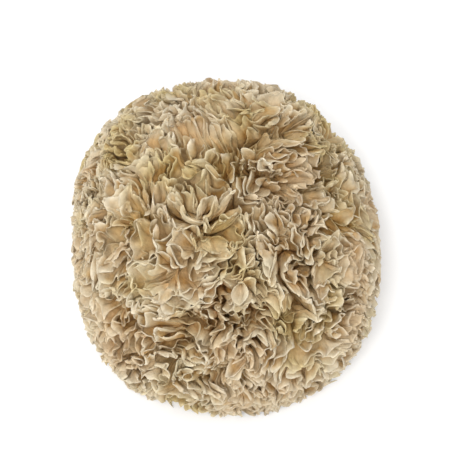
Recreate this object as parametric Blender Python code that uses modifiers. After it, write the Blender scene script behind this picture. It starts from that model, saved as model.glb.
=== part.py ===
"""A dried snow fungus head, standing on its flat-cut base.

Frilled fronds fork from a knob of hard base and spread like the rays of a ball.
Metres, +Z up. The origin is the centre of the cut face.
"""

import math

import bpy
import numpy as np

# Driving sizes, in metres
HEAD_REACH = 0.0524
GROWING_POINT_HEIGHT = 0.012
KNOB_RADIUS = 0.0125
ROOT_GAP = 0.0004
CUT_FACE_RADIUS = 0.0120
FROND_THICKNESS = 0.0019
FLOOR_CLEARANCE = 0.0015

# Tiers of fronds: name, count, elevation and first azimuth in degrees
TIERS = (
    ("crown_frond", 3, 64.0, 20.0),
    ("side_frond", 5, 29.0, 50.0),
    ("skirt_frond", 6, -1.5, 12.0),
)
SEED_WANDER = 5.0
UNDERSIDE_ELEVATION = -13.0

# Rows of points from the root of a frond to its rim: share of the way, share of the thickness
ROWS = ((0.0, 0.36), (0.30, 0.70), (0.65, 1.0), (1.0, 0.70))

# Distances in metres between the walls of a frond, at its root and at its rim
ROOT_PITCH = 0.0025
RIM_PITCH = 0.0074

# How a rim grows and folds. A share is of the radius that the rim has reached.
STATIONS = 42
START_RADIUS = 0.0050
START_RING = 0.18
RING_WOBBLE = 0.25
GROWTH_STEP = 0.0004
GROWTH_NOISE = 0.002
SETTLING_MOVES = 12
PUSH = 0.16
LINK_STIFFNESS = 0.30
SMOOTHING = 0.10
HOMING = 1.0
LIFT = 0.5
MOST_STRAY = 0.1
LONGEST_MOVE_IN_PITCHES = 0.12
RAY_DECIMALS = 7

# How high the rim stands, as a share of the head's reach, and how it rises and falls
LOWEST_FROND = 0.95
RIM_RIPPLE = 0.040
FEWEST_RIPPLES, MOST_RIPPLES = 5, 8

# The knob of the base
KNOB_SEGMENTS = 20
KNOB_RINGS = 12
KNOB_NECK_ELEVATION = -30.0
KNOB_LUMPS = 0.035
SHARP_ANGLE = 50.0

# Colours, linear
FROND_COLOUR = (0.60, 0.46, 0.28, 1.0)
BASE_COLOUR = (0.42, 0.25, 0.09, 1.0)

GROWING_POINT = np.array((0.0, 0.0, GROWING_POINT_HEIGHT))
ROOT_RADIUS = KNOB_RADIUS + ROOT_GAP
UP = np.array((0.0, 0.0, 1.0))


def clear_scene():
    for thing in list(bpy.data.objects):
        bpy.data.objects.remove(thing)


def direction(elevation, azimuth):
    """Unit vector at an elevation and azimuth in degrees; azimuth 0 is +X, 90 is +Y."""
    up, round_z = math.radians(elevation), math.radians(azimuth)
    level = math.cos(up)
    return np.array((level * math.cos(round_z), level * math.sin(round_z), math.sin(up)))


def unit(vectors):
    return vectors / np.linalg.norm(vectors, axis=-1, keepdims=True)


def frond_seeds():
    """Name and axis of every frond, spread evenly in its tier and then set a little astray."""
    random = np.random.default_rng(12)
    seeds = []
    for name, count, elevation, first in TIERS:
        for i in range(count):
            astray = random.uniform(-SEED_WANDER, SEED_WANDER, 2)
            azimuth = first + 360.0 * i / count + astray[0]
            seeds.append((f"{name}_{i + 1}", direction(elevation + 0.6 * astray[1], azimuth)))
    return seeds


def head_reach(rays):
    """Distance from the growing point to the outside of the head along unit rays.

    A ball a little flat on top, squarish in plan and fuller towards -X, longer along Y,
    and cut short where it would reach through the floor.
    """
    plan = np.arctan2(rays[..., 1], rays[..., 0])
    level = np.hypot(rays[..., 0], rays[..., 1])
    oval = -0.042 * np.cos(2.0 * plan)
    squarish = -0.025 * np.cos(4.0 * plan)
    fuller = -0.020 * np.cos(plan)
    crown = 1.0 - 0.03 * np.clip(rays[..., 2], 0.0, 1.0) ** 2
    swell = 1.0 + 0.02 * np.sin(3.0 * plan + 5.0 * rays[..., 2] + 1.0)
    reach = HEAD_REACH * (1.0 + level * (oval + squarish + fuller)) * crown * swell
    down = np.clip(-rays[..., 2], 1e-4, 1.0)
    return np.minimum(reach, (GROWING_POINT_HEIGHT - FLOOR_CLEARANCE) / down)


def settle(rays, axes, radius, pitch, link):
    """Moves the rims' stations a little, on a ball of that radius, and returns their rays.

    Stations nearer than a pitch push each other apart, the links of a rim pull it to its
    length, and each rim smooths itself. A station that strays past the middle of the way to
    another frond's axis, or below the underside, is led back.
    """
    points = rays * radius
    flat = points.reshape(-1, 3)
    apart = np.sqrt(np.maximum(2.0 * radius**2 - 2.0 * flat @ flat.T, 1e-12))
    weight = PUSH * np.clip(pitch / apart - 1.0, 0.0, 1.0)
    np.fill_diagonal(weight, 0.0)
    move = (weight.sum(axis=1)[:, None] * flat - weight @ flat).reshape(points.shape)
    ahead = np.roll(points, -1, axis=1) - points
    length = np.linalg.norm(ahead, axis=2, keepdims=True)
    pull = LINK_STIFFNESS * (1.0 - link / length) * ahead
    move += pull - np.roll(pull, 1, axis=1)
    move += SMOOTHING * (ahead - np.roll(ahead, 1, axis=1))
    nearness = rays @ axes.T
    own = np.einsum("fsf->fs", nearness)
    others = np.where(np.eye(len(axes), dtype=bool)[:, None, :], -1.0, nearness)
    stray = np.clip(others.max(axis=2) - own, 0.0, MOST_STRAY)
    homeward = axes[:, None, :] - axes[others.argmax(axis=2)]
    move += HOMING * radius * stray[..., None] * homeward
    below = math.sin(math.radians(UNDERSIDE_ELEVATION)) - rays[..., 2]
    move[..., 2] += LIFT * radius * np.clip(below, 0.0, MOST_STRAY)
    distance = np.maximum(np.linalg.norm(move, axis=2, keepdims=True), 1e-9)
    return unit(points + move * np.minimum(1.0, LONGEST_MOVE_IN_PITCHES * pitch / distance))


def grown_rims(axes):
    """Rays to every frond's rim at each of the rows, as the head grows from the knob outwards.

    A rim starts as a small ring round its frond's axis, deep in the knob. It lengthens with
    the area of the head, faster than the head gets wider, and so it folds. The wall of a
    frond is the track that its rim leaves. Rounding the rays keeps the folds the same on
    every machine.
    """
    random = np.random.default_rng(5)
    turn = np.linspace(0.0, 2.0 * math.pi, STATIONS, endpoint=False)[:, None]
    side = unit(np.cross(UP, axes))[:, None, :]
    ahead = np.cross(axes[:, None, :], side)
    start = random.uniform(0.0, 2.0 * math.pi, (len(axes), 1, 1))
    wobble = 1.0 + RING_WOBBLE * np.sin(3.0 * turn + start)
    ring = START_RING * wobble * (np.cos(turn) * side + np.sin(turn) * ahead)
    rays = unit(axes[:, None, :] + ring)
    area = 2.0 * math.pi * (1.0 - math.sin(math.radians(UNDERSIDE_ELEVATION)))
    radii = np.arange(START_RADIUS, HEAD_REACH + GROWTH_STEP, GROWTH_STEP)
    shares = (radii - ROOT_RADIUS) / (HEAD_REACH - ROOT_RADIUS)
    track = []
    for radius, share in zip(radii, shares):
        pitch = ROOT_PITCH + max(share, 0.0) * (RIM_PITCH - ROOT_PITCH)
        link = area * radius**2 / pitch / (len(axes) * STATIONS)
        rays = np.round(unit(rays + GROWTH_NOISE * random.standard_normal(rays.shape)), RAY_DECIMALS)
        for _ in range(SETTLING_MOVES):
            rays = settle(rays, axes, radius, pitch, link)
        track.append(rays)
    picked = [int(np.abs(shares - share).argmin()) for share, _ in ROWS]
    return np.stack([track[step] for step in picked], axis=1)


def add_frond(name, rays, random, material, collection):
    """A folded wall along its rim's track, made thick with Solidify, thinner at root and rim."""
    height = random.uniform(LOWEST_FROND, 1.0)
    ripples = random.integers(FEWEST_RIPPLES, MOST_RIPPLES, endpoint=True)
    turn = np.linspace(0.0, 2.0 * math.pi, STATIONS, endpoint=False)
    ripple = np.sin(ripples * turn + random.uniform(0.0, 2.0 * math.pi))
    rims = head_reach(rays) * height * (1.0 + RIM_RIPPLE * ripple)
    shares = np.array([share for share, _ in ROWS])[:, None]
    radii = ROOT_RADIUS + shares * (rims - ROOT_RADIUS)
    points = (GROWING_POINT + rays * radii[..., None]).reshape(-1, 3)
    faces = [
        [r * STATIONS + s, r * STATIONS + on, (r + 1) * STATIONS + on, (r + 1) * STATIONS + s]
        for r in range(len(ROWS) - 1)
        for s, on in enumerate(np.roll(range(STATIONS), -1).tolist())
    ]
    mesh = bpy.data.meshes.new(name)
    mesh.from_pydata(points.tolist(), [], faces)
    mesh.materials.append(material)
    frond = bpy.data.objects.new(name, mesh)
    collection.objects.link(frond)
    thickness = frond.vertex_groups.new(name="thickness")
    for r, (_, share) in enumerate(ROWS):
        thickness.add(list(range(r * STATIONS, (r + 1) * STATIONS)), share, "REPLACE")
    solidify = frond.modifiers.new("Solidify", "SOLIDIFY")
    solidify.thickness = FROND_THICKNESS
    solidify.offset = 0.0
    solidify.vertex_group = thickness.name
    mesh.shade_smooth()
    return frond


def knob_points(rays):
    """Points of the knob's surface along rays: a ball on a short foot, cut off flat.

    The foot flares out below the neck, and its outline is a little uneven.
    """
    elevation = np.degrees(np.arcsin(np.clip(rays[:, 2], -1.0, 1.0)))
    foot_elevation = -math.degrees(math.atan2(GROWING_POINT_HEIGHT, CUT_FACE_RADIUS))
    foot_radius = math.hypot(GROWING_POINT_HEIGHT, CUT_FACE_RADIUS)
    way_down = (KNOB_NECK_ELEVATION - elevation) / (KNOB_NECK_ELEVATION - foot_elevation)
    neck = np.clip(way_down, 0.0, 1.0)[:, None]
    flare = KNOB_RADIUS + (foot_radius - KNOB_RADIUS) * neck
    floor = GROWING_POINT_HEIGHT / np.maximum(-rays[:, 2:], 1e-4)
    points = GROWING_POINT + rays * np.minimum(flare, floor)
    plan = np.arctan2(rays[:, 1:2], rays[:, 0:1])
    lumps = np.sin(2.0 * plan + 0.8) + np.sin(3.0 * plan)
    points[:, :2] *= 1.0 + KNOB_LUMPS * neck * lumps
    return points


def add_base(material, collection):
    """The knob that the fronds grow from, with the flat face where the head was cut off."""
    bpy.ops.mesh.primitive_uv_sphere_add(
        segments=KNOB_SEGMENTS, ring_count=KNOB_RINGS, radius=1.0
    )
    base = bpy.context.object
    base.name = "base"
    mesh = base.data
    rays = np.empty(len(mesh.vertices) * 3, np.float32)
    mesh.vertices.foreach_get("co", rays)
    points = knob_points(unit(rays.reshape(-1, 3).astype(float)))
    mesh.vertices.foreach_set("co", points.astype(np.float32).ravel())
    mesh.update()
    mesh.materials.append(material)
    mesh.shade_smooth()
    mesh.set_sharp_from_angle(angle=math.radians(SHARP_ANGLE))
    for owner in list(base.users_collection):
        owner.objects.unlink(base)
    collection.objects.link(base)
    return base


def plain_material(name, colour, roughness):
    material = bpy.data.materials.new(name)
    material.use_nodes = True
    surface = material.node_tree.nodes["Principled BSDF"]
    surface.inputs["Base Color"].default_value = colour
    surface.inputs["Roughness"].default_value = roughness
    surface.inputs["Metallic"].default_value = 0.0
    return material


def main():
    clear_scene()
    collection = bpy.data.collections.new("snow_fungus")
    bpy.context.scene.collection.children.link(collection)
    frond_material = plain_material("dried_frond", FROND_COLOUR, 0.6)
    base_material = plain_material("dried_base", BASE_COLOUR, 0.7)
    add_base(base_material, collection)
    seeds = frond_seeds()
    random = np.random.default_rng(7)
    rims = grown_rims(np.array([axis for _, axis in seeds]))
    for (name, _), rays in zip(seeds, rims):
        add_frond(name, rays, random, frond_material, collection)


main()
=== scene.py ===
"""The looks of a dried snow fungus head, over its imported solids. Metres, +Z up."""

import math

import bpy
import numpy as np
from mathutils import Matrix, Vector


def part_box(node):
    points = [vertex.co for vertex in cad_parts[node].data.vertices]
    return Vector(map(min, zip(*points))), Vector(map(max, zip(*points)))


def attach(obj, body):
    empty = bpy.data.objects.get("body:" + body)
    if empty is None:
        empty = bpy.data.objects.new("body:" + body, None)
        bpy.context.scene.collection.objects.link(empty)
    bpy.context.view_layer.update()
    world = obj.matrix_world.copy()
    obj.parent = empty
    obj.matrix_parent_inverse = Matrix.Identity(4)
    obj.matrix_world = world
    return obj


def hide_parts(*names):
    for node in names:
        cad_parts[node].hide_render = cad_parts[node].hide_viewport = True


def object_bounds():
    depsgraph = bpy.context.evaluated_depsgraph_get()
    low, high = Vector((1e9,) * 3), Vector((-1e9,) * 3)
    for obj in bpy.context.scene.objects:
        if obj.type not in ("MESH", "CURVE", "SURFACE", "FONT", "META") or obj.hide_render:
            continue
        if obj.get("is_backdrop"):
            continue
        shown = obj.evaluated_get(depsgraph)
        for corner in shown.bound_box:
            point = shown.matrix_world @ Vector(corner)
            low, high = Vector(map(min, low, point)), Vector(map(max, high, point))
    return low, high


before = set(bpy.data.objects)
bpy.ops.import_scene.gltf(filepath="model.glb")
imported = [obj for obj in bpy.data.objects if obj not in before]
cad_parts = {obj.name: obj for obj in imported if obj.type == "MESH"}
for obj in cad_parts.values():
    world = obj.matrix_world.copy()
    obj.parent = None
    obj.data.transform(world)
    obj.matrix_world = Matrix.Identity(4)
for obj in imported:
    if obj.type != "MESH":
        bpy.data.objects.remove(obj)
solids_low, solids_high = (np.array(corner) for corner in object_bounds())

# The base
# The hard knob of pith that all the fronds grow from, dried yellow-brown. It was cut off its
# block with a knife, so it ends in a flat face, rough with fibres, with a thin tough rind.

MM = 0.001
GROWING_POINT = np.array((0.0, 0.0, 12.0 * MM))
KNOB_RADIUS = 12.5 * MM
CUT_RADIUS, CUT_BEVEL = 11.8 * MM, 0.5 * MM
NECK_ELEVATION, TOP_ELEVATION = math.radians(-30.0), 0.48 * math.pi
WAIST = 1.1 * MM
BASE_COLUMNS = 160
FACE_RINGS, CORNER_RINGS, FOOT_RINGS, BALL_RINGS = 16, 4, 6, 26
INNERMOST_RING = 0.04
LUMP_SHARE, KNUCKLE_SHARE = 0.035, 0.02
LUMPS_FADE = (0.35, 0.8)
WALL_SPAN, EDGE_SPAN = (0.3 * MM, 2.0 * MM), (0.2 * MM, 1.5 * MM)
WRINKLE_WIDTH, WRINKLE_DEPTH, WRINKLE_STRETCH = 2.6 * MM, 0.28 * MM, 0.35
DENT_WIDTH, DENT_DEPTH = 6.0 * MM, 0.35 * MM
THREAD_WIDTH, THREAD_HEIGHT = 1.8 * MM, 0.10 * MM
TORN_WIDTH, TORN_HEIGHT, TORN_SPAN = 5.0 * MM, 0.12 * MM, (0.3, 1.2)


def unit(vectors):
    """Each vector divided by its own length."""
    return vectors / np.linalg.norm(vectors, axis=-1, keepdims=True)


def waves(points, size, seed, count=8):
    """Smooth noise, mostly within -1.5 to 1.5: sine waves that run in all directions through
    space, each about as long as the size, added up."""
    random = np.random.default_rng(seed)
    ways = unit(random.standard_normal((count, 3)))
    lengths = size * random.uniform(0.7, 1.5, count)
    turns = points @ (2.0 * math.pi * ways / lengths[:, None]).T
    return np.sin(turns + random.uniform(0.0, 2.0 * math.pi, count)).sum(axis=-1) * math.sqrt(2.0 / count)


def smooth_step(value, low, high):
    """0 below low, 1 above high, and an even S between them."""
    share = np.clip((value - low) / (high - low), 0.0, 1.0)
    return share * share * (3.0 - 2.0 * share)


def knob_points():
    """Points of the base's skin, (rings, columns, 3), from the middle of the cut face
    outwards, up the foot and over the knob.

    The profile runs along the flat face to its bevelled edge, up a short foot that narrows
    to a waist by half a sine wave, and then follows a ball. Sine waves round it make it
    lumpy, noise stretched upwards wrinkles its sides, and noise roughens the cut.
    """
    centre = GROWING_POINT[2]
    neck = KNOB_RADIUS * math.cos(NECK_ELEVATION)
    foot_top = centre + KNOB_RADIUS * math.sin(NECK_ELEVATION)
    face = np.linspace(INNERMOST_RING, 1.0, FACE_RINGS) * (CUT_RADIUS - CUT_BEVEL)
    corner = np.linspace(0.0, 0.5 * math.pi, CORNER_RINGS + 1)[1:]
    foot = np.linspace(0.0, 1.0, FOOT_RINGS + 2)[1:-1]
    up = np.linspace(NECK_ELEVATION, TOP_ELEVATION, BALL_RINGS)
    across = np.concatenate((
        face,
        CUT_RADIUS - CUT_BEVEL * (1.0 - np.sin(corner)),
        CUT_RADIUS + (neck - CUT_RADIUS) * foot - WAIST * np.sin(math.pi * foot),
        KNOB_RADIUS * np.cos(up),
    ))
    along = np.concatenate((
        np.zeros(len(face)),
        CUT_BEVEL * (1.0 - np.cos(corner)),
        CUT_BEVEL + (foot_top - CUT_BEVEL) * foot,
        centre + KNOB_RADIUS * np.sin(up),
    ))
    turn = np.linspace(0.0, 2.0 * math.pi, BASE_COLUMNS, endpoint=False)
    lumps = LUMP_SHARE * (np.sin(2.0 * turn + 0.8) + np.sin(3.0 * turn))
    lumps += KNUCKLE_SHARE * np.sin(7.0 * turn + 1.7)
    low = 1.0 - smooth_step(along, LUMPS_FADE[0] * centre, LUMPS_FADE[1] * centre)[:, None]
    wide = across[:, None] * (1.0 + lumps * low)
    tall = np.broadcast_to(along[:, None], wide.shape)
    points = np.stack((wide * np.cos(turn), wide * np.sin(turn), tall), axis=-1)
    wall = smooth_step(along, *WALL_SPAN)[:, None]
    wrinkles = WRINKLE_DEPTH * waves(points * (1.0, 1.0, WRINKLE_STRETCH), WRINKLE_WIDTH, seed=11)
    wrinkles += DENT_DEPTH * waves(points, DENT_WIDTH, seed=12)
    points[..., :2] *= (1.0 + wall * wrinkles / np.maximum(wide, MM))[..., None]
    rough = THREAD_HEIGHT * np.abs(waves(points, THREAD_WIDTH, seed=13))
    rough += TORN_HEIGHT * smooth_step(waves(points, TORN_WIDTH, seed=14), *TORN_SPAN)
    points[..., 2] += rough * (1.0 - wall) * smooth_step(CUT_RADIUS - wide, *EDGE_SPAN)
    return points


def add_skin(name, points, material):
    """A closed mesh on a grid of points, (rings, columns, 3), that closes round its columns.
    The first and the last ring are each capped round a point in their middle."""
    rings, columns = points.shape[:2]
    row, column = np.meshgrid(np.arange(rings - 1), np.arange(columns), indexing="ij")
    after = (column + 1) % columns
    here, above = row * columns, (row + 1) * columns
    quads = np.stack((here + column, here + after, above + after, above + column), axis=-1)
    ring = np.arange(columns)
    next_ring = (ring + 1) % columns
    last_ring, first_middle, last_middle = (rings - 1) * columns, rings * columns, rings * columns + 1
    first_cap = np.stack((next_ring, ring, np.full(columns, first_middle)), axis=-1)
    last_cap = np.stack((last_ring + ring, last_ring + next_ring, np.full(columns, last_middle)), axis=-1)
    mesh = bpy.data.meshes.new(name)
    everything = np.concatenate((points.reshape(-1, 3), points[[0, -1]].mean(axis=1)))
    faces = quads.reshape(-1, 4).tolist() + first_cap.tolist() + last_cap.tolist()
    mesh.from_pydata(everything.tolist(), [], faces)
    mesh.shade_smooth()
    mesh.materials.append(material)
    piece = bpy.data.objects.new(name, mesh)
    bpy.context.scene.collection.objects.link(piece)
    return piece


def linear(code):
    """An sRGB colour code as linear red, green, blue and alpha."""
    parts = [int(code[k : k + 2], 16) / 255.0 for k in (1, 3, 5)]
    return tuple(p / 12.92 if p < 0.04045 else ((p + 0.055) / 1.055) ** 2.4 for p in parts) + (1.0,)


def add_node(material, kind, settings=None, links=None):
    """Adds a node. Settings are its own properties by name and its sockets' values by number
    or name, and links give the output that feeds a socket."""
    tree = material.node_tree
    node = tree.nodes.new(kind)
    for key, value in (settings or {}).items():
        if isinstance(key, str) and hasattr(node, key):
            setattr(node, key, value)
        else:
            node.inputs[key].default_value = value
    for key, source in (links or {}).items():
        tree.links.new(source, node.inputs[key])
    return node


def new_material(name):
    """A material with no nodes yet."""
    material = bpy.data.materials.new(name)
    material.use_nodes = True
    material.node_tree.nodes.clear()
    return material


def add_ramp(material, value, *stops):
    """Colour that follows a value through colour stops, (value, colour code)."""
    node = add_node(material, "ShaderNodeValToRGB", links={"Fac": value})
    ramp = node.color_ramp
    while len(ramp.elements) < len(stops):
        ramp.elements.new(1.0)
    for element, (position, code) in zip(ramp.elements, stops):
        element.position = position
        element.color = linear(code)
    return node.outputs["Color"]


def add_product(material, first, second, share=None):
    """The first colour times the second, wholly or by a share from 0 to 1."""
    settings = {"data_type": "RGBA", "blend_type": "MULTIPLY", 0: 1.0}
    links = {6: first, 7: second} if share is None else {0: share, 6: first, 7: second}
    return add_node(material, "ShaderNodeMix", settings, links).outputs[2]


# Dried pith, cut with a knife: matt and fibrous, in browns from straw to rust, with darker
# stains where the sap dried.
FIBRE_WIDTH, STAIN_WIDTH = 1.6 * MM, 7.0 * MM
pith = new_material("dried_pith")
place = add_node(pith, "ShaderNodeTexCoord").outputs["Object"]
fibres = add_node(
    pith,
    "ShaderNodeTexNoise",
    {"Scale": 1.0 / FIBRE_WIDTH, "Detail": 4.0, "Distortion": 1.0},
    {"Vector": place},
)
browns = ((0.28, "#6b4723"), (0.45, "#a07744"), (0.58, "#bd9760"), (0.75, "#cfae7b"))
grain = add_ramp(pith, fibres.outputs["Fac"], *browns)
stains = add_node(pith, "ShaderNodeTexNoise", {"Scale": 1.0 / STAIN_WIDTH, "Detail": 2.0}, {"Vector": place})
stain = add_ramp(pith, stains.outputs["Fac"], (0.38, "#b98f5f"), (0.6, "#ffffff"))
stained = add_product(pith, grain, stain)
relief = add_node(
    pith, "ShaderNodeBump", {"Strength": 0.6, "Distance": 0.25 * MM}, {"Height": fibres.outputs["Fac"]}
)
pith_surface = add_node(
    pith,
    "ShaderNodeBsdfPrincipled",
    {"Roughness": 0.75, "IOR": 1.45},
    {"Base Color": stained, "Normal": relief.outputs["Normal"]},
)
add_node(pith, "ShaderNodeOutputMaterial", links={"Surface": pith_surface.outputs[0]})

knob = add_skin("cut_knob", knob_points(), pith)
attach(knob, "root")
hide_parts("base")

# The fronds
# Each frond is one sheet of jelly that grows at its rim. The rim gets longer faster than the
# head gets wider, so it folds against its neighbours into a maze of walls with frilled edges.
# Dried, the sheets are thin, stiff and brittle.

# The head's outside, where all fronds end together: a ball round the growing point that
# little room to grow in and drying have made squarish and lopsided.
boxes = np.array([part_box(name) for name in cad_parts])
HEAD_LENGTH = boxes[:, 1, 1].max() - boxes[:, 0, 1].min()
HEAD_REACH = 0.49 * HEAD_LENGTH
FLOOR_CLEARANCE = 0.6 * MM
OVAL, LOPSIDED, SQUARISH, FULLER = -0.042, -0.020, -0.028, -0.020
FLAT_CROWN, SWELL = 0.03, 0.02
ALMOST_NOTHING = 1e-9


def head_reach(rays):
    """Distance from the growing point to the head's outside along unit rays.

    A ball with cosine and sine terms round its plan that make it oval on a slant, squarish
    and fuller towards -X, a crown that the square of the upward part flattens, a slow swell
    that winds round it, and an underside cut short just above the floor.
    """
    plan = np.arctan2(rays[..., 1], rays[..., 0])
    level = np.hypot(rays[..., 0], rays[..., 1])
    outline = OVAL * np.cos(2.0 * plan) + SQUARISH * np.cos(4.0 * plan) + FULLER * np.cos(plan)
    outline = outline + LOPSIDED * np.sin(2.0 * plan)
    crown = 1.0 - FLAT_CROWN * np.clip(rays[..., 2], 0.0, 1.0) ** 2
    swell = 1.0 + SWELL * np.sin(3.0 * plan + 5.0 * rays[..., 2] + 1.0)
    reach = HEAD_REACH * (1.0 + level * outline) * crown * swell
    down = np.clip(-rays[..., 2], ALMOST_NOTHING, 1.0)
    return np.minimum(reach, (GROWING_POINT[2] - FLOOR_CLEARANCE) / down)


# How the rims grow: from small rings round the fronds' axes out to just past the head's
# outside, at a pitch, the room between two walls, that is widest part of the way out.
ROOT_RADIUS = 12.3 * MM
START_RADIUS = 5.0 * MM
START_RING, START_WOBBLE, START_STATIONS = 0.15, 0.15, 12
PAST_OUTSIDE = 1.03
GROWTH_STEP = 0.35 * MM
ROOT_PITCH, WIDEST_PITCH, RIM_PITCH = 2.3 * MM, 2.45 * MM, 1.8 * MM
WIDEST_AT = 0.6
STATIONS_PER_PITCH = 2.5
SPLIT_LUCK = 0.6
UNDERSIDE = math.sin(math.radians(-13.0))

# How they settle at each step. Walls keep the pitch times KEEP_OFF apart, more in some places
# and less in others, and the push would part two walls that meet in PUSHED_IN moves. PULL,
# STIFFNESS, HOMING and LIFT are the shares of a stretch, of a bend, of a stray and of a drop
# below the underside that one move takes back. No move is longer than LONGEST_MOVE of a link.
# The uneven places and the wandering borders are measured on a ball of radius one.
SETTLING_MOVES = 10
KEEP_OFF, SEARCH_MARGIN = 1.15, 0.8 * MM
PUSHED_IN = 6.0
UNEVENNESS, UNEVEN_SIZE, UNEVEN_MOST = 0.30, 0.32, 1.6
PULL, STIFFNESS, LONGEST_MOVE = 0.225, 0.12, 0.35
SHIVER = 0.06 * MM
HOMING, STRAY_FREE, STRAY_MOST = 0.08, 0.5 * MM, 3.0 * MM
BORDER_WANDER, BORDER_SIZE, BORDER_WAVES = 0.035, 0.30, 4
LIFT = 0.6
KEPT_DIGITS = 7
CUBES_ACROSS = 256


def near_pairs(points, reach):
    """Indices of all pairs of points that are nearer than the reach.

    Points are sorted by the cube of space they are in, and each is paired with the points
    of its own cube and of the cubes next to it. A cube's key counts the cubes along Z, then
    the rows of them along Y, then the layers along X.
    """
    cube = np.floor(points / reach).astype(np.int64) + CUBES_ACROSS // 2
    steps = np.array((CUBES_ACROSS**2, CUBES_ACROSS, 1))
    key = cube @ steps
    order = np.argsort(key, kind="stable")
    ranked = key[order]
    index = np.arange(len(points))
    firsts, seconds = [], []
    beside = [steps @ (x, y, z) for x in (-1, 0, 1) for y in (-1, 0, 1) for z in (-1, 0, 1)]
    for shift in [shift for shift in beside if shift >= 0]:
        low = np.searchsorted(ranked, key + shift, "left")
        count = np.searchsorted(ranked, key + shift, "right") - low
        first = np.repeat(index, count)
        second = order[np.repeat(low - np.cumsum(count) + count, count) + np.arange(count.sum())]
        once = (shift > 0) | (first < second)
        firsts.append(first[once])
        seconds.append(second[once])
    first, second = np.concatenate(firsts), np.concatenate(seconds)
    near = ((points[first] - points[second]) ** 2).sum(axis=1) < reach**2
    return first[near], second[near]


def summed(vectors, index, count):
    """Sum of the vectors that share an index."""
    return np.stack([np.bincount(index, vectors[:, k], count) for k in range(3)], axis=1)


def ring_order(loops, count):
    """For stations sorted by their loop: index of the one after and of the one before each."""
    first = np.searchsorted(loops, np.arange(count))
    last = np.append(first[1:], len(loops)) - 1
    after = np.arange(1, len(loops) + 1)
    after[last] = first
    before = np.arange(-1, len(loops) - 1)
    before[first] = last
    return after, before


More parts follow.
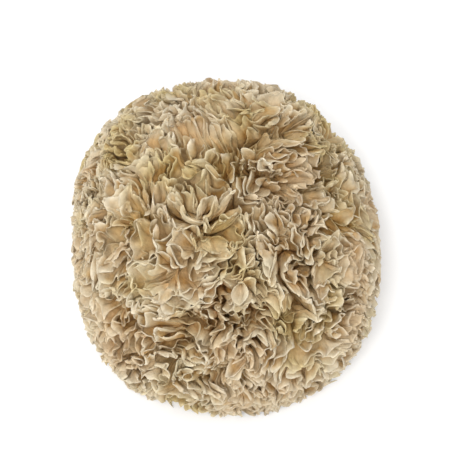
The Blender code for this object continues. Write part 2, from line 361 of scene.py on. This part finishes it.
def grown_rims(axes):
    """Tracks of all rims, as rays, from the knob outwards: one (steps, stations, 3) array
    for each frond.

    A rim starts as a small ring round its frond's axis. At each step the head gets a little
    wider, and new stations come in where the rim is stretched most, until its length is the
    area of the head divided by the pitch. Then the stations settle: they push off what is
    nearer than the pitch, links and stiffness keep each rim smooth, and what strays over the
    border between two fronds is drawn back. A border lies halfway between two axes and
    wanders by slow noise. Rays are rounded, so that differences in the last digits don't grow.
    """
    random = np.random.default_rng(3)
    count = len(axes)
    area = 2.0 * math.pi * (1.0 - UNDERSIDE)
    turn = np.linspace(0.0, 2.0 * math.pi, START_STATIONS, endpoint=False)[:, None]
    side = unit(np.cross((0.0, 0.0, 1.0), axes))[:, None, :]
    ahead = np.cross(axes[:, None, :], side)
    ring = np.cos(turn) * side + np.sin(turn) * ahead
    wobble = 1.0 + START_WOBBLE * np.sin(3.0 * turn + np.arange(count)[:, None, None])
    rays = unit(axes[:, None, :] + START_RING * wobble * ring).reshape(-1, 3)
    loops = np.repeat(np.arange(count), len(turn))
    labels = np.tile(np.arange(len(turn)) / len(turn), count)
    history = []
    for radius in np.arange(START_RADIUS, PAST_OUTSIDE * HEAD_REACH, GROWTH_STEP):
        share = max((radius - ROOT_RADIUS) / (HEAD_REACH - ROOT_RADIUS), 0.0)
        pitch = np.interp(share, (0.0, WIDEST_AT, 1.0), (ROOT_PITCH, WIDEST_PITCH, RIM_PITCH))
        link = pitch / STATIONS_PER_PITCH
        after, before = ring_order(loops, count)
        extra = int(area * radius**2 / pitch / link) - len(rays)
        if extra > 0:
            luck = random.uniform(SPLIT_LUCK, 1.0, len(rays))
            stretch = np.linalg.norm(rays[after] - rays, axis=1) * luck
            split = np.sort(np.argpartition(-stretch, extra)[:extra])
            next_label = labels[after[split]]
            next_label = next_label + (next_label <= labels[split])
            middle = unit(rays[split] + rays[after[split]])
            rays = np.insert(rays, split + 1, middle, axis=0)
            labels = np.insert(labels, split + 1, 0.5 * (labels[split] + next_label))
            loops = np.insert(loops, split + 1, loops[split])
            after, before = ring_order(loops, count)
        points = rays * radius
        first, second = near_pairs(points, KEEP_OFF * pitch + SEARCH_MARGIN)
        linked = (after[first] == second) | (after[second] == first)
        first, second = first[~linked], second[~linked]
        uneven = np.clip(waves(rays, UNEVEN_SIZE, seed=77), -UNEVEN_MOST, UNEVEN_MOST)
        room = 1.0 + UNEVENNESS * uneven
        keep_off = KEEP_OFF * pitch * 0.5 * (room[first] + room[second])
        wander = [waves(rays, BORDER_SIZE, seed=60 + frond, count=BORDER_WAVES) for frond in range(count)]
        nearness = rays @ axes.T + BORDER_WANDER * np.stack(wander, axis=1)
        to_own = np.arange(len(rays)), loops
        own = nearness[to_own]
        nearness[to_own] = -np.inf
        rival = nearness.argmax(axis=1)
        stray = (nearness.max(axis=1) - own) * radius
        homeward = unit(axes[loops] - axes[rival])
        home = homeward * (HOMING * np.clip(stray - STRAY_FREE, 0.0, STRAY_MOST))[:, None]
        for _ in range(SETTLING_MOVES):
            gap = points[first] - points[second]
            apart = np.linalg.norm(gap, axis=1) + ALMOST_NOTHING
            push = np.clip(1.0 - apart / keep_off, 0.0, 1.0) * pitch / PUSHED_IN
            push = gap * (push / apart)[:, None]
            move = summed(push, first, len(points)) - summed(push, second, len(points)) + home
            link_way = points[after] - points
            length = np.linalg.norm(link_way, axis=1) + ALMOST_NOTHING
            pull = link_way * (PULL * (1.0 - link / length))[:, None]
            move += pull - pull[before]
            move += STIFFNESS * (0.5 * (points[after] + points[before]) - points)
            move += SHIVER * random.standard_normal(points.shape)
            move[:, 2] += LIFT * np.clip(UNDERSIDE * radius - points[:, 2], 0.0, None)
            distance = np.linalg.norm(move, axis=1) + ALMOST_NOTHING
            points = points + move * np.minimum(1.0, LONGEST_MOVE * link / distance)[:, None]
            points = radius * unit(points)
        rays = np.round(points / radius, KEPT_DIGITS)
        if radius >= ROOT_RADIUS:
            history.append((rays, loops, labels))
    tracks = []
    for frond in range(count):
        final = labels[loops == frond]
        steps = []
        for step_rays, step_loops, step_labels in history:
            mine = step_loops == frond
            at_step = [np.interp(final, step_labels[mine], step_rays[mine, k], period=1.0) for k in range(3)]
            steps.append(at_step)
        tracks.append(np.array(steps).transpose(0, 2, 1))
    return tracks


COLUMN_SPACE = 0.34 * MM


def between_columns(values, times):
    """Evens out values along closed rims: each becomes the mean of itself, twice, and of its
    two neighbours, that many times over."""
    for _ in range(times):
        values = 0.5 * values + 0.25 * (np.roll(values, 1, axis=1) + np.roll(values, -1, axis=1))
    return values


def spaced(track):
    """The same closed rims, smoothed, with stations at even spaces along the outermost one.

    The smooth curve through every four stations in a row is a cubic in the share t of the way
    from the second to the third. It is read where the length along the rim is a whole number
    of spaces.
    """
    track = unit(between_columns(track, 1))
    rim = track[-1] * HEAD_REACH
    run = np.cumsum(np.linalg.norm(np.roll(rim, -1, axis=0) - rim, axis=1))
    count = round(run[-1] / COLUMN_SPACE)
    place = np.interp(np.arange(count) * run[-1] / count, np.append(0.0, run), np.arange(len(run) + 1))
    second = place.astype(int)
    t = (place - second)[:, None]
    a, b, c, d = (np.take(track, second + k, axis=1, mode="wrap") for k in (-1, 0, 1, 2))
    curve = b + 0.5 * t * (c - a + t * (2.0 * a - 5.0 * b + 4.0 * c - d + t * (3.0 * (b - c) + d - a)))
    return unit(curve)


# How far out a rim comes: lobes about 3 mm long with notches between them, unevenness every
# few millimetres, long steps, pits a centimetre wide, and a crisp finely toothed edge.
LOBE_LENGTH, NOTCH_DEPTH, NOTCH_PATCH, NOTCH_CHANGE = 3.2 * MM, 3.0 * MM, 9.0 * MM, 0.4
UNEVEN_LENGTH, UNEVEN_DEPTH = 5.0 * MM, 1.2 * MM
STEP_LENGTH, STEP_DEPTH, STEP_RATIO, STEP_MOST = 18.0 * MM, 1.8 * MM, 1.6, 1.2
PIT_WIDTH, PIT_DEPTH, PIT_FROM = 13.0 * MM, 7.0 * MM, 0.75
CALM_SIDES = 0.55
CRISP_DEPTH = 0.55 * MM
TALLEST = 1.5 * MM


def rim_drop(rim, run, lobing, ruffling, crispness):
    """How far each column of a frond stops short of the head's outside, in metres.

    The sum of: notches where the root of a sine wave along the rim comes down to zero, noise,
    long steps from two sine waves, pits where slow noise is high, and crisp little teeth, one
    to each half ruffle. Round the sides, where others press on it, the head is calmer.
    """
    random = np.random.default_rng(len(run))
    turn = 2.0 * math.pi * run / run[-1]
    notches = 1.0 - np.sqrt(np.abs(np.sin(lobing)))
    notches *= 1.0 - NOTCH_CHANGE + NOTCH_CHANGE * waves(rim, NOTCH_PATCH, seed=31)
    drop = NOTCH_DEPTH * notches + UNEVEN_DEPTH * waves(rim, UNEVEN_LENGTH, seed=32)
    steps = max(round(run[-1] / STEP_LENGTH), 1)
    stair = np.sin(steps * turn + random.uniform(0.0, 6.0))
    stair += np.sin(round(STEP_RATIO * steps) * turn + random.uniform(0.0, 6.0))
    drop += STEP_DEPTH * np.clip(0.5 + 0.5 * stair, 0.0, STEP_MOST)
    drop += PIT_DEPTH * np.clip(waves(rim, PIT_WIDTH, seed=33) - PIT_FROM, 0.0, 1.0)
    level = np.hypot(rim[:, 0], rim[:, 1]) / np.linalg.norm(rim, axis=1)
    drop *= 1.0 - CALM_SIDES * level**4
    drop += CRISP_DEPTH * crispness * (1.0 - np.abs(np.sin(ruffling)))
    return np.maximum(drop, -TALLEST)


# How the sheets lie over: all together, slowly and in curls, and on two sides pressed flat.
LEAN, LEAN_LENGTH, LEAN_FROM = 2.1 * MM, 36.0 * MM, 0.6
CURL, CURL_LENGTH = 1.2 * MM, 6.8 * MM
PRESSED_SIDES = unit(np.array(((0.93, -0.28, 0.30), (0.24, 0.16, 0.95))))
PRESSED_SPAN = (0.90, 0.975)
PRESSED_WAY = np.array((0.0, -0.75, -0.65))
PRESSED_LEAN, PRESSED_FROM = 4.6 * MM, 0.84


def sideways(rays, points, share):
    """How far the points of a frond are moved across their rays, in metres.

    All fronds lean and curl together: slow and quick noise in space, times a power of the
    share of the way out. On two sides, where the head was pressed, the tips are laid over in
    one direction as well. What points along the rays is taken out again.
    """
    outer = np.clip((share - LEAN_FROM) / (1.0 - LEAN_FROM), 0.0, 1.0)[..., None]
    lean = np.stack([waves(points, LEAN_LENGTH, seed=40 + axis) for axis in range(3)], axis=-1)
    curl = np.stack([waves(points, CURL_LENGTH, seed=50 + axis) for axis in range(3)], axis=-1)
    pressed = smooth_step((rays @ PRESSED_SIDES.T).max(axis=-1), *PRESSED_SPAN)
    tip = np.clip((share - PRESSED_FROM) / (1.0 - PRESSED_FROM), 0.0, 1.0) ** 1.5
    move = LEAN * lean * outer**1.5 + CURL * curl * outer**2
    move += (PRESSED_LEAN * pressed * tip)[..., None] * PRESSED_WAY
    return move - (move * rays).sum(axis=-1, keepdims=True) * rays


# The sheet itself: rows crowd towards the rim, folds and frills fade inwards, and the wall is
# four tenths of a millimetre at the rim and several times that where it is grown together.
ROWS, ROW_CROWDING = 11, 2.6
FOLD_LENGTH, FOLD_DEPTH, FOLD_FADE = 3.9 * MM, 0.70 * MM, 9.0 * MM
FRILL_LENGTH, FRILL_DEPTH, FRILL_FADE = 1.9 * MM, 0.42 * MM, 3.0 * MM
CRISP_PATCH, CRISP_CHANGE, CRISP_SPAN = 10.0 * MM, 0.6, (0.2, 1.8)
RIM_THICKNESS, DEEP_THICKNESS, TAPER_DEPTH, TAPER_POWER = 0.40 * MM, 2.8 * MM, 9.0 * MM, 1.3
ROUND_EDGE = 0.02
TABLE_GAP, SOFT_TOUCH, LOWEST = 0.5 * MM, 0.8 * MM, 0.1 * MM
BEND_PASSES = 8


def sheet_normals(points):
    """Normals of a grid of points that closes along its columns.

    They are evened out over a few columns, so that they are of length one where the sheet is
    flat, and shorter where it bends so tightly that its two faces would cross.
    """
    along = np.roll(points, -1, axis=1) - np.roll(points, 1, axis=1)
    up = np.gradient(points, axis=0)
    return between_columns(unit(np.cross(along, up) + 1e-12), BEND_PASSES)


def frond_sheet(track, seed):
    """Points of both faces of a frond, (rows, columns, 3), each point's share of the way from
    root to outside, its depth below its own rim, and the length along the rim at each column.

    The middle of the sheet follows its rim's track out to where the rim stops, is moved
    sideways with its neighbours, comes to rest softly on the table, and sways along its
    normals by two sine waves that fade with depth: folds and frills. Both faces lie half a
    thickness to the side of it, and the thickness grows by a power of the depth.
    """
    random = np.random.default_rng(seed)
    rim = track[-1] * HEAD_REACH
    run = np.cumsum(np.linalg.norm(rim - np.roll(rim, 1, axis=0), axis=1))
    turn = 2.0 * math.pi * run / run[-1]
    wander = 0.8 * np.sin(3.0 * turn + random.uniform(0.0, 6.0))
    wander += 0.6 * np.sin(7.0 * turn + random.uniform(0.0, 6.0))
    lobing = 0.5 * round(run[-1] / LOBE_LENGTH) * turn + wander
    folding = round(run[-1] / FOLD_LENGTH) * turn + 2.0 * wander
    ruffling = round(run[-1] / FRILL_LENGTH) * turn + 3.0 * wander
    crispness = np.clip(1.0 + CRISP_CHANGE * waves(rim, CRISP_PATCH, seed=34), *CRISP_SPAN)
    growth = HEAD_REACH - ROOT_RADIUS
    top = 1.0 - rim_drop(rim, run, lobing, ruffling, crispness) / growth
    rows = 1.0 - (1.0 - np.linspace(0.0, 1.0, ROWS)[:, None]) ** ROW_CROWDING
    share = np.minimum(rows * top, 1.0)
    step = share * (len(track) - 1)
    before = np.minimum(step.astype(int), len(track) - 2)
    part = (step - before)[..., None]
    columns = np.arange(track.shape[1])
    rays = unit(track[before, columns] * (1.0 - part) + track[before + 1, columns] * part)
    points = rays * (ROOT_RADIUS + share * (head_reach(rays) - ROOT_RADIUS))[..., None]
    points = points + sideways(rays, points, share)
    over_table = (points[..., 2] + GROWING_POINT[2] - TABLE_GAP) / SOFT_TOUCH
    points[..., 2] += SOFT_TOUCH * (np.logaddexp(0.0, over_table) - over_table)
    depth = (top - share) * growth
    sway = FOLD_DEPTH * np.clip(1.0 - depth / FOLD_FADE, 0.0, 1.0) * np.sin(folding)
    sway += FRILL_DEPTH * crispness * np.clip(1.0 - depth / FRILL_FADE, 0.0, 1.0) * np.sin(ruffling)
    points = between_columns(points + sheet_normals(points) * sway[..., None], 1)
    taper = np.clip(depth / TAPER_DEPTH, 0.0, 1.0) ** TAPER_POWER
    thickness = RIM_THICKNESS + (DEEP_THICKNESS - RIM_THICKNESS) * taper
    thickness = thickness * np.sqrt(np.clip((1.0 - rows) / ROUND_EDGE, 0.0, 1.0))
    half = 0.5 * thickness[..., None] * sheet_normals(points)
    faces = [GROWING_POINT + points + half, GROWING_POINT + points - half]
    for face in faces:
        face[..., 2] = np.maximum(face[..., 2], LOWEST)
    return faces[0], faces[1], share, depth, run


CREASE_ANGLE = math.radians(65.0)


def add_sheet(name, front, back, share, depth, run, material):
    """A closed mesh of a frond's two faces, joined at the rim and at the root.

    Its points carry their height and depth, and its map is the sheet laid flat, in
    millimetres along the rim and out from the root.
    """
    columns = share.shape[1]
    points = np.concatenate((front, back[-2::-1]))
    ring = len(points)
    row, column = np.meshgrid(np.arange(ring), np.arange(columns), indexing="ij")
    after = (column + 1) % columns
    here, above = row * columns, (row + 1) % ring * columns
    corners = np.stack((here + column, here + after, above + after, above + column), axis=-1)
    mesh = bpy.data.meshes.new(name)
    mesh.vertices.add(points.size // 3)
    mesh.vertices.foreach_set("co", points.ravel())
    mesh.loops.add(corners.size)
    mesh.loops.foreach_set("vertex_index", corners.ravel())
    mesh.polygons.add(corners.size // 4)
    mesh.polygons.foreach_set("loop_start", np.arange(0, corners.size, 4))
    mesh.update(calc_edges=True)
    for label, value in (("height", share), ("depth", depth / MM)):
        layer = mesh.attributes.new(label, "FLOAT", "POINT")
        layer.data.foreach_set("value", np.concatenate((value, value[-2::-1])).astype(np.float32).ravel())
    across = run[-1] / columns * np.stack((column, column + 1, column + 1, column), axis=-1)
    outward = np.concatenate((share, share[-2::-1])) * (HEAD_REACH - ROOT_RADIUS)
    beyond = np.roll(outward, -1, axis=0)
    upward = np.stack((outward, np.roll(outward, -1, axis=1), np.roll(beyond, -1, axis=1), beyond), axis=-1)
    flat_map = mesh.uv_layers.new(name="sheet")
    flat_map.data.foreach_set("uv", (np.stack((across, upward), axis=-1) / MM).astype(np.float32).ravel())
    mesh.shade_smooth()
    mesh.set_sharp_from_angle(angle=CREASE_ANGLE)
    mesh.materials.append(material)
    piece = bpy.data.objects.new(name, mesh)
    bpy.context.scene.collection.objects.link(piece)
    return piece


# Dried jelly: the fronds dry to a stiff, slightly translucent skin, matt and finely wrinkled.
# It is cream along the thin rims, partly its own colour and partly a painted glow of light
# through the thin edge. It is tan on the faces, and paler again deep down in the cracks, which
# is painted fill light that lifts their shade. Further in towards the root it is browner, partly
# its own colour and partly painted shade. It has brown patches on the faces, and patches that
# lean to straw or to pink. Fine veins run out along the sheets. The depth below the rim and
# the sheet's own map are in millimetres, and all that is read from them is too.
PATCH_WIDTH, BROWNED_WIDTH, SPECK_WIDTH = 22.0 * MM, 7.0 * MM, 2.2 * MM
PUCKER_WIDTH, WRINKLE_HEIGHT = 1.3 * MM, 0.45 * MM
DEEP, FACE_FROM, FACE_FULL = 9.0, 0.3, 1.6
VEIN_WIDTH, VEIN_LENGTH = 0.9, 4.0
SPECK_DARKEST, SPECK_PALEST = 0.82, 1.13
jelly = new_material("dried_jelly")
place = add_node(jelly, "ShaderNodeTexCoord").outputs["Object"]
height = add_node(jelly, "ShaderNodeAttribute", {"attribute_name": "height"}).outputs["Fac"]
depth = add_node(jelly, "ShaderNodeAttribute", {"attribute_name": "depth"}).outputs["Fac"]

from_rim = add_node(jelly, "ShaderNodeMapRange", {"From Max": DEEP}, {"Value": depth}).outputs[0]
# Painted light: the cream at the rim is partly a painted glow through the thin edge, and the paler colour
# deep in the cracks is painted fill light that lifts their shade.
tans_and_painted_light = ((0.0, "#d2c7ae"), (0.06, "#c3b69c"), (0.18, "#bdad91"), (0.45, "#d4c0a0"), (1.0, "#e6d3b2"))
flesh_and_painted_light = add_ramp(jelly, from_rim, *tans_and_painted_light)
# Painted shade, partly the jelly's own colour: darker and browner deeper in the head, away from its outside.
inward = add_node(
    jelly, "ShaderNodeMapRange", {"From Min": 1.0, "From Max": 0.6}, {"Value": height}
).outputs[0]
shade = add_ramp(jelly, inward, (0.0, "#ffffff"), (0.12, "#fdf8ee"), (0.4, "#eedebe"), (0.8, "#e2c99e"))
browned = add_node(
    jelly, "ShaderNodeTexNoise", {"Scale": 1.0 / BROWNED_WIDTH, "Detail": 3.0}, {"Vector": place}
)
brown = add_ramp(jelly, browned.outputs["Fac"], (0.44, "#ffffff"), (0.64, "#dfc79c"))
on_face = add_node(
    jelly, "ShaderNodeMapRange", {"From Min": FACE_FROM, "From Max": FACE_FULL}, {"Value": depth}
).outputs[0]
# The painted rim glow, painted fill light in the cracks and painted shade from above, with real brown patches
# on the faces.
aged_with_painted_light = add_product(jelly, add_product(jelly, flesh_and_painted_light, shade), brown, on_face)
patch = add_node(jelly, "ShaderNodeTexNoise", {"Scale": 1.0 / PATCH_WIDTH, "Detail": 2.0}, {"Vector": place})
tint = add_ramp(jelly, patch.outputs["Fac"], (0.34, "#ece3bd"), (0.5, "#ffffff"), (0.66, "#f6ebdf"))
tinted = add_product(jelly, aged_with_painted_light, tint)
speck = add_node(jelly, "ShaderNodeTexNoise", {"Scale": 1.0 / SPECK_WIDTH, "Detail": 3.0}, {"Vector": place})
mottle = add_node(
    jelly,
    "ShaderNodeMapRange",
    {"From Min": 0.3, "From Max": 0.7, "To Min": SPECK_DARKEST, "To Max": SPECK_PALEST},
    {"Value": speck.outputs["Fac"]},
)
mottled = add_node(jelly, "ShaderNodeVectorMath", {"operation": "SCALE"}, {0: tinted, 3: mottle.outputs[0]})

on_sheet = add_node(jelly, "ShaderNodeUVMap", {"uv_map": "sheet"}).outputs["UV"]
along_veins = add_node(
    jelly, "ShaderNodeMapping", {"Scale": (1.0 / VEIN_WIDTH, 1.0 / VEIN_LENGTH, 1.0)}, {"Vector": on_sheet}
)
veins = add_node(
    jelly,
    "ShaderNodeTexNoise",
    {"Scale": 1.0, "Detail": 3.0, "Roughness": 0.6},
    {"Vector": along_veins.outputs[0]},
)
pucker = add_node(
    jelly, "ShaderNodeTexNoise", {"Scale": 1.0 / PUCKER_WIDTH, "Detail": 3.0}, {"Vector": place}
)
wrinkles = add_node(
    jelly, "ShaderNodeMath", {"operation": "ADD"}, {0: veins.outputs["Fac"], 1: pucker.outputs["Fac"]}
)
relief = add_node(
    jelly, "ShaderNodeBump", {"Strength": 0.8, "Distance": WRINKLE_HEIGHT}, {"Height": wrinkles.outputs[0]}
)
jelly_surface = add_node(
    jelly,
    "ShaderNodeBsdfPrincipled",
    {
        "subsurface_method": "BURLEY",
        "Roughness": 0.62,
        "IOR": 1.42,
        "Subsurface Weight": 0.35,
        "Subsurface Radius": (1.0, 0.9, 0.8),
        "Subsurface Scale": 0.8 * MM,
    },
    {"Base Color": mottled.outputs[0], "Normal": relief.outputs["Normal"]},
)
add_node(jelly, "ShaderNodeOutputMaterial", links={"Surface": jelly_surface.outputs[0]})

# Each frond's axis points to the middle of its solid, so its rim grows where that stands.
names = sorted(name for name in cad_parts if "frond" in name)
axes = []
for name in names:
    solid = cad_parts[name].data
    places = np.empty(len(solid.vertices) * 3, np.float32)
    solid.vertices.foreach_get("co", places)
    axes.append(unit(places.reshape(-1, 3).astype(float).mean(axis=0) - GROWING_POINT))
for seed, (name, track) in enumerate(zip(names, grown_rims(np.array(axes)))):
    frond = add_sheet(name + "_frills", *frond_sheet(spaced(track), seed), jelly)
    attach(frond, "root")
    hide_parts(name)

# The floor and the light
# A plain pale table top in a bright room, under one soft lamp from the front and a weaker one
# from behind on the left.

FLOOR_SIZE = 3.0
edge = 0.5 * FLOOR_SIZE
table_mesh = bpy.data.meshes.new("table_top")
corners = [(-edge, -edge, 0.0), (edge, -edge, 0.0), (edge, edge, 0.0), (-edge, edge, 0.0)]
table_mesh.from_pydata(corners, [], [(0, 1, 2, 3)])
table_top = bpy.data.objects.new("table_top", table_mesh)
bpy.context.scene.collection.objects.link(table_top)
pale = new_material("pale_table")
pale_surface = add_node(pale, "ShaderNodeBsdfPrincipled", {"Base Color": linear("#fafafa"), "Roughness": 0.7})
add_node(pale, "ShaderNodeOutputMaterial", links={"Surface": pale_surface.outputs[0]})
table_mesh.materials.append(pale)
table_top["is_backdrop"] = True

ROOM_LIGHT = 0.86
world = bpy.data.worlds.new("soft_room")
world.use_nodes = True
room = world.node_tree.nodes["Background"]
room.inputs["Color"].default_value = (1.0, 1.0, 1.0, 1.0)
room.inputs["Strength"].default_value = ROOM_LIGHT
bpy.context.scene.world = world

# The picture is shown as the colours are, with its middle tones lifted a little.
DISPLAY_GAMMA = 1.10
display = bpy.context.scene.view_settings
display.view_transform = "Standard"
display.gamma = DISPLAY_GAMMA

middle = 0.5 * (solids_low + solids_high)


def add_softbox(name, at, size, power):
    """A square lamp that faces the head's middle."""
    lamp = bpy.data.lights.new(name, "AREA")
    lamp.size = size
    lamp.energy = power
    box = bpy.data.objects.new(name, lamp)
    box.location = at
    box.rotation_euler = (Vector(at) - Vector(middle)).to_track_quat("Z", "Y").to_euler()
    bpy.context.scene.collection.objects.link(box)


add_softbox("window_light", (-0.35, 0.20, 0.55), 0.45, 0.7)
add_softbox("front_light", (-0.08, -0.30, 0.62), 0.3, 2.5)

# The camera
# It looks down on the crown at the photograph's slant, through a long lens, from far enough
# away that the whole head shows with the table round it.

ELEVATION = 66.0
DISTANCE = 0.457
LENS = 120.0
eye = bpy.data.cameras.new("camera")
eye.lens = LENS
camera = bpy.data.objects.new("camera", eye)
slant = math.radians(ELEVATION)
camera.location = middle + DISTANCE * np.array((0.0, -math.cos(slant), math.sin(slant)))
camera.rotation_euler = (math.radians(90.0 - ELEVATION), 0.0, 0.0)
bpy.context.scene.collection.objects.link(camera)
bpy.context.scene.camera = camera
